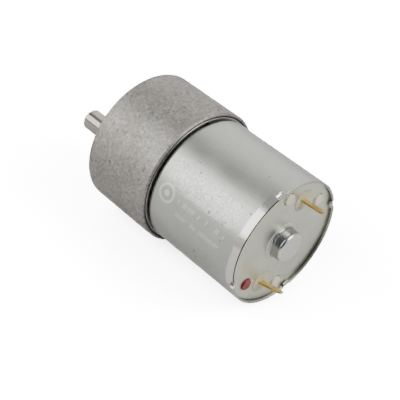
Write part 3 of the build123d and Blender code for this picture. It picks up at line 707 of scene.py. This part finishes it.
def cover_screws():
    """The three screws that close the gearbox, each left at its own angle."""
    screws = [cover_screw(spot(mount_pcd_r, angle), turn) for angle, turn in zip(screw_angles, (20, 64, 5))]
    combine(screws[0], screws[1:], "UNION")
    screws[0].name = "closing_screws"
    return done(screws[0], "screw_steel", "housing", "cover_screws", bevel=0.03)


def output_shaft():
    """Output shaft with its chamfer, D-flat, relief and clip grooves and rear journal."""
    clip_front, clip_rear, clip_r = -10.7, -11.35, 2.6
    relief_front, relief_rear, relief_r = 6.4, 5.7, 2.8
    journal_start, journal_r = -12.0, 1.5
    flat_depth, flat_length = 0.5, 12.0
    outline = rounded(
        [
            (output_tip, 0, 0),
            (output_tip, output_r - 0.5, 0.08),
            (output_tip - 0.5, output_r, 0.12),
            (relief_front, output_r, 0.05),
            (relief_front, relief_r, 0.05),
            (relief_rear, relief_r, 0.05),
            (relief_rear, output_r, 0.05),
            (clip_front, output_r, 0.05),
            (clip_front, clip_r, 0.05),
            (clip_rear, clip_r, 0.05),
            (clip_rear, output_r, 0.05),
            (journal_start, output_r, 0.2),
            (journal_start, journal_r, 0.2),
            (output_rear, journal_r, 0.2),
            (output_rear, 0, 0),
        ],
        3,
    )
    shaft = lathe("drive_shaft", outline, output_axis, 144)
    low = (output_axis[0], output_axis[1] - output_r)
    reach = (output_r + 1, flat_depth)
    flat = frustum("flat", output_tip + 1, reach, output_tip - flat_length, reach, low)
    combine(shaft, [flat], "DIFFERENCE")
    return done(shaft, "shaft_steel", "output", "output_shaft", bevel=0.04)


# ================= motor =================
def roll_of(depth, angle):
    """How far the rolling tool has pressed the rim in, from 0 to 1, at a depth from its end."""
    reach = 2.25
    middle, half = sum(rolled_arc) / 2, (rolled_arc[1] - rolled_arc[0]) / 2
    share = 1 - smooth(apart(angle, middle), half - 0.5, half + 1.0)
    return share * max(0, 1 - depth / reach) ** 1.15


def can_shape(x, r, angle):
    """Moves a point of the round can to where the crimps and the rolled band leave it."""
    depth = x - can_rear
    if depth > 3 or r < seat_r - 0.1:
        return x, r
    nearest, press = min((apart(angle, crimp), press) for crimp, press in crimps.items())
    crimp = 1 - smooth(nearest, 2.7, 3.9)
    outer_press = press * crimp * (1 - smooth(depth, 0.75, 1.6))
    inner_press = 0.8 * crimp * (1 - smooth(depth, 0.5, 0.9))
    share = smooth(r, seat_r, can_r)
    moved = r - share * max(0.45 * roll_of(depth, angle), outer_press) - (1 - share) * inner_press
    drop = 0.65 * press * crimp * (1 - smooth(depth, 0, 0.6))
    return x + drop, moved


def can_angles():
    """Directions of the can's lengthwise lines, closer together where the rim is crimped."""
    angles = {step * 1.5 for step in range(240)}
    for crimp in crimps:
        angles |= {(crimp + step * 0.3) % 360 for step in range(-20, 21)}
    return sorted(round(angle, 3) for angle in angles)


def motor_can():
    """Drawn can: front corner, pilot boss, and a rear rim that is rolled and crimped over the plate."""
    shaft_hole_r, pilot_r, bearing_r = 1.5, 4.0, 3.2
    inside_front = gearbox_rear - 1.2
    outline = rounded(
        [
            (pilot_front, shaft_hole_r, 0),
            (pilot_front, pilot_r, 0.3),
            (gearbox_rear, pilot_r, 0),
            (gearbox_rear, can_r, can_corner),
            (can_rear + 3, can_r, 0),
        ]
    )
    wall = [(can_rear + 2.8 - 0.2 * step, can_r) for step in range(14)]
    edge = 0.15
    lip = [(can_rear + 0.2, can_r, 0), (can_rear, can_r, edge), (can_rear, seat_r, edge), (can_rear + 0.2, seat_r, 0)]
    inner = [(can_rear + 0.2 + 0.15 * step, seat_r) for step in range(6)]
    inner += rounded(
        [
            (end_inner, seat_r, 0),
            (end_inner, can_inner_r, 0.05),
            (inside_front, can_inner_r, 0.8),
            (inside_front, bearing_r, 0),
            (pilot_front - 0.6, bearing_r, 0),
            (pilot_front - 0.6, shaft_hole_r, 0),
        ]
    )
    profile = outline + wall + rounded(lip, 4)[1:-1] + inner
    shell = lathe("can_shell", profile, angles=can_angles(), closed=True, warp=can_shape)
    cutters = []
    for angle in (60, 240):
        hole = [(gearbox_rear + 1, 0), (gearbox_rear + 1, 1.51), (inside_front - 1, 1.51), (inside_front - 1, 0)]
        cutters.append(lathe("hole", hole, spot(12.5, angle), 36))
    combine(shell, cutters, "DIFFERENCE")
    return done(shell, "can_steel", "housing", "motor_can", sharp=40)


def end_plate():
    """Drawn end plate: bearing boss with its foot ring, and holes for bushes and pegs."""
    bearing_r = 3.2
    ring_depth, ring_inner, ring_outer = 0.2, 4.75, 5.65
    outline = [(rear_boss_end + 0.6, 0), (rear_boss_end + 0.6, bearing_r), (end_inner, bearing_r)]
    outline += rounded([(end_inner, bearing_r, 0), (end_inner, end_r, 0.1), (end_outer, end_r, 0.12), (end_outer, ring_outer, 0)])[1:]
    for step in range(1, 10):
        share = step / 10
        r = ring_outer + (ring_inner - ring_outer) * share
        outline.append((end_outer + ring_depth * sin(pi * share) ** 2, r))
    outline += rounded(
        [
            (end_outer, ring_inner, 0),
            (end_outer, rear_boss_r, 0.5),
            (rear_boss_end + 0.02, rear_boss_r, 1.0),
            (rear_boss_end, 1.6, 0),
        ],
        12,
    )
    outline.append((rear_boss_end, 0))
    plate = lathe("end_cover", outline, angles=240)
    holes = [(centre_of(f"insulator_{sign}"), insulator_r + 0.03) for sign in ("negative", "positive")]
    holes += [(spot(peg_circle_r, angle), peg_r + 0.14) for angle in peg_angles]
    cutters = []
    for centre, radius in holes:
        edge = 0.1
        hole = [(end_outer - 0.5, 0), (end_outer - 0.5, radius + edge + 0.5), (end_outer + edge, radius)]
        hole += [(end_inner + 0.5, radius), (end_inner + 0.5, 0)]
        cutters.append(lathe("hole", hole, centre, 60))
    combine(plate, cutters, "DIFFERENCE")
    return done(plate, "end_plate_steel", "housing", "end_plate")


def brush_holder():
    """Nylon disc inside the motor with four pegs that are set over on the end plate."""
    thickness, outer_r, inner_r = 1.6, can_inner_r - 0.3, 6.2
    front = end_inner + thickness
    proud = end_outer - span("brush_holder")[0].x
    outline = rounded([(front, inner_r, 0), (front, outer_r, 0.2), (end_inner, outer_r, 0.2), (end_inner, inner_r, 0)])
    disc = lathe("nylon_holder", outline, angles=120, closed=True)
    pegs = []
    for angle in peg_angles:
        marked = apart(angle, peg_angles[3]) < 1
        tip = end_outer + 0.21 if marked else end_outer - proud
        rim = tip + (0.0 if marked else 0.08)
        peg = [(end_inner + 0.4, 0), (end_inner + 0.4, peg_r - 0.05), (rim + 0.1, peg_r - 0.05)]
        peg += [(rim, peg_r - 0.15), (tip + 0.01, peg_r - 0.35), (tip, peg_r - 0.7), (tip, 0)]
        pegs.append(lathe("peg", peg, spot(peg_circle_r, angle), 48))
    combine(disc, pegs, "UNION")
    cutters = []
    for sign in ("negative", "positive"):
        hole = [(front + 1, 0), (front + 1, insulator_r), (end_inner - 0.3, insulator_r), (end_inner - 0.3, 0)]
        cutters.append(lathe("hole", hole, centre_of(f"insulator_{sign}"), 48))
    combine(disc, cutters, "DIFFERENCE")
    return done(disc, "white_nylon", "housing", "brush_holder")


def polarity_dot():
    """Blob of red paint on the marked peg."""
    rear, front = (corner.x for corner in span("polarity_dot"))
    outline = [(front, 0), (front, peg_r - 0.05), (rear + 0.14, peg_r - 0.05), (rear + 0.06, peg_r - 0.14)]
    outline += [(rear + 0.02, peg_r - 0.4), (rear, peg_r - 0.85), (rear, 0)]
    dot = lathe("red_dot", outline, centre_of("polarity_dot"), 60)
    return done(dot, "red_mark", "housing", "polarity_dot")


def insulator(sign):
    """Nylon bush round a terminal, with the slot that the blade passes through."""
    node = f"insulator_{sign}"
    rear, front = (corner.x for corner in span(node))
    radius = insulator_r - 0.02
    outline = rounded([(rear, 0, 0), (rear, radius, 0.12), (front, radius, 0.1), (front, 0, 0)], 4)
    centre = centre_of(node)
    bush = lathe(f"bush_{sign}", outline, centre, 72)
    turn = terminal_angle + (180 if sign == "positive" else 0)
    slot = frustum("slot", rear - 1, (0.29, 1.24), front + 1, (0.29, 1.24), centre, turn)
    combine(bush, [slot], "DIFFERENCE")
    return done(bush, "cream_nylon", "housing", node)


def terminal(sign):
    """Stamped brass blade: it leans a little from the bush on, and has a pointed tip and a wire hole."""
    node = f"terminal_{sign}"
    front = span(node)[1].x
    half_width, half_sheet, hole_r = 1.2, 0.25, 0.5
    bend_x = end_outer - 0.5
    turn = terminal_angle + (180 if sign == "positive" else 0)
    outwards, sideways = Vector((0, *spot(1, turn))), Vector((0, *spot(1, turn + 90)))
    root = Vector((bend_x, *centre_of(f"insulator_{sign}")))
    tip = Vector(mounts[node]["pos_m"]) * MM
    run = (tip - root).normalized()
    face = run.cross(sideways)
    reach = (tip - root).length
    stations = [(root + Vector((front - bend_x, 0, 0)), half_width, outwards)]
    for x in (0.25, 0.12):
        stations.append((root + Vector((x, 0, 0)), half_width, outwards))
    for step, width in ((0.12, half_width), (0.25, half_width), (reach - 0.8, half_width), (reach, half_width - 0.6)):
        stations.append((root + run * step, width, face))
    points = []
    for side in (-half_sheet, half_sheet):
        for edge in (-1, 1):
            points += [middle + sideways * width * edge + normal * side for middle, width, normal in stations]
    count = len(stations)
    faces = [(0, count, 3 * count, 2 * count)]
    faces.append((count - 1, 2 * count - 1, 4 * count - 1, 3 * count - 1))
    for step in range(count - 1):
        for low, high in ((0, count), (2 * count, 3 * count), (0, 2 * count), (count, 3 * count)):
            faces.append((low + step, low + step + 1, high + step + 1, high + step))
    blade = piece_from(f"blade_{sign}", points, faces)
    pin = lathe("pin", [(-1, 0), (-1, hole_r), (1, hole_r), (1, 0)], angles=32)
    middle = root + run * (reach / 2 + 0.4)
    pin.data.transform(Matrix.Translation(middle) @ face.to_track_quat("X", "Z").to_matrix().to_4x4())
    combine(blade, [pin], "DIFFERENCE")
    return done(blade, "terminal_brass", "housing", node, bevel=0.05)


# ================= stage, camera and light =================
def camera():
    """The photograph's view."""
    data = bpy.data.cameras.new("photo_view")
    data.sensor_width = 36.0
    data.lens = 90.83
    data.clip_start = 0.01
    data.clip_end = 50.0
    eye = Vector((-0.156709, 0.146218, 0.156009))
    aim = Vector((-0.025638, 0.003170, -0.002560))
    hint = Vector((0, sin(radians(8)), cos(radians(8))))
    back = (eye - aim).normalized()
    right = hint.cross(back).normalized()
    up = back.cross(right)
    turn = Matrix((right, up, back)).transposed().to_4x4()
    view = bpy.data.objects.new("photo_view", data)
    view.matrix_world = Matrix.Translation(eye) @ turn
    bpy.context.scene.collection.objects.link(view)
    bpy.context.scene.camera = view


def softbox(name, place, axis, size, power, colour=(1, 1, 1)):
    """Area light at a place, with its long side along axis, that faces the object."""
    data = bpy.data.lights.new(name, "AREA")
    data.shape = "RECTANGLE"
    data.size, data.size_y = size
    data.energy = power
    data.color = colour
    light = bpy.data.objects.new(name, data)
    along = Vector(axis).normalized()
    away = Vector(place)
    away = (away - along * away.dot(along)).normalized()
    turn = Matrix((along, away.cross(along), away)).transposed().to_4x4()
    light.matrix_world = Matrix.Translation(place) @ turn
    bpy.context.scene.collection.objects.link(light)
    return light


def floor():
    """Pale paper floor, wide enough to reach the horizon. It is shown brighter than it shines."""
    reach = 20.0
    level = cad_box[0].z
    corners = [(-reach, -reach, level), (reach, -reach, level), (reach, reach, level), (-reach, reach, level)]
    mesh = bpy.data.meshes.new("floor")
    mesh.from_pydata(corners, [], [(0, 1, 2, 3)])
    paper = Recipe(bpy.data.materials.new("paper"), "Object", 1.0)
    diffuse = paper.add("ShaderNodeBsdfDiffuse")
    paper.put(diffuse.inputs["Color"], paper.seen_or_passed(FLOOR_SEEN, FLOOR_PASSED))
    paper.put(paper.add("ShaderNodeOutputMaterial").inputs["Surface"], diffuse.outputs[0])
    mesh.materials.append(paper.owner)
    plane = bpy.data.objects.new("floor", mesh)
    bpy.context.scene.collection.objects.link(plane)


def surroundings():
    """Pale room with a darker gap between the lights overhead and a dark screen at one corner."""
    world = bpy.data.worlds.new("studio")
    bpy.context.scene.world = world
    r = Recipe(world, "Generated", 1.0)
    _, turn = r.around()
    gap = r.maths("MULTIPLY", r.band(turn, 68.0, 98.0, 5.0), r.grade(r.z, 0.2, 0.5, 0, 0.58))
    colour = r.mix(gap, (1.0, 1.0, 1.0), (0.27, 0.29, 0.34))
    level = r.maths("SQRT", r.maths("MULTIPLY_ADD", r.x, r.x, r.maths("MULTIPLY", r.y, r.y)))
    towards = r.maths("MULTIPLY_ADD", r.x, -0.677, r.maths("MULTIPLY", r.y, 0.736))
    screen = r.grade(r.maths("DIVIDE", towards, level), 0.68, 0.86, 0, 0.95)
    screen = r.maths("MULTIPLY", screen, r.grade(r.z, 0.95, 0.85))
    colour = r.mix(screen, colour, (0.04, 0.05, 0.09))
    background = r.add("ShaderNodeBackground")
    r.put(background.inputs["Color"], r.mix(r.seen_or_passed(1.0, 0.0), colour, (1.0, 1.0, 1.0)))
    r.put(background.inputs["Strength"], r.seen_or_passed(WORLD_SEEN, WORLD_PASSED))
    r.put(r.add("ShaderNodeOutputWorld").inputs["Surface"], background.outputs[0])


def studio():
    """Floor, surroundings and soft lights."""
    floor()
    surroundings()
    softbox("key", (0.38, 0.522, 0.468), (1, 0, 0), (1.1, 0.62), KEY)
    softbox("fill", (0.53, -0.72, 0.5), (0.8, 0.6, 0), (1.2, 1.0), FILL)
    softbox("rear", (-0.65, -0.27, 0.58), (0.4, -0.9, 0), (0.5, 0.5), REAR)


FLOOR_SEEN, FLOOR_PASSED = 14.0, 0.64
WORLD_SEEN, WORLD_PASSED = 12.0, 0.6
KEY, FILL, REAR = 5.9, 3.0, 4.8

dress_cad_nodes()
casting()
gearbox_plate()
cover_screws()
output_shaft()
motor_can()
end_plate()
brush_holder()
polarity_dot()
for sign in ("negative", "positive"):
    insulator(sign)
    terminal(sign)
camera()
studio()
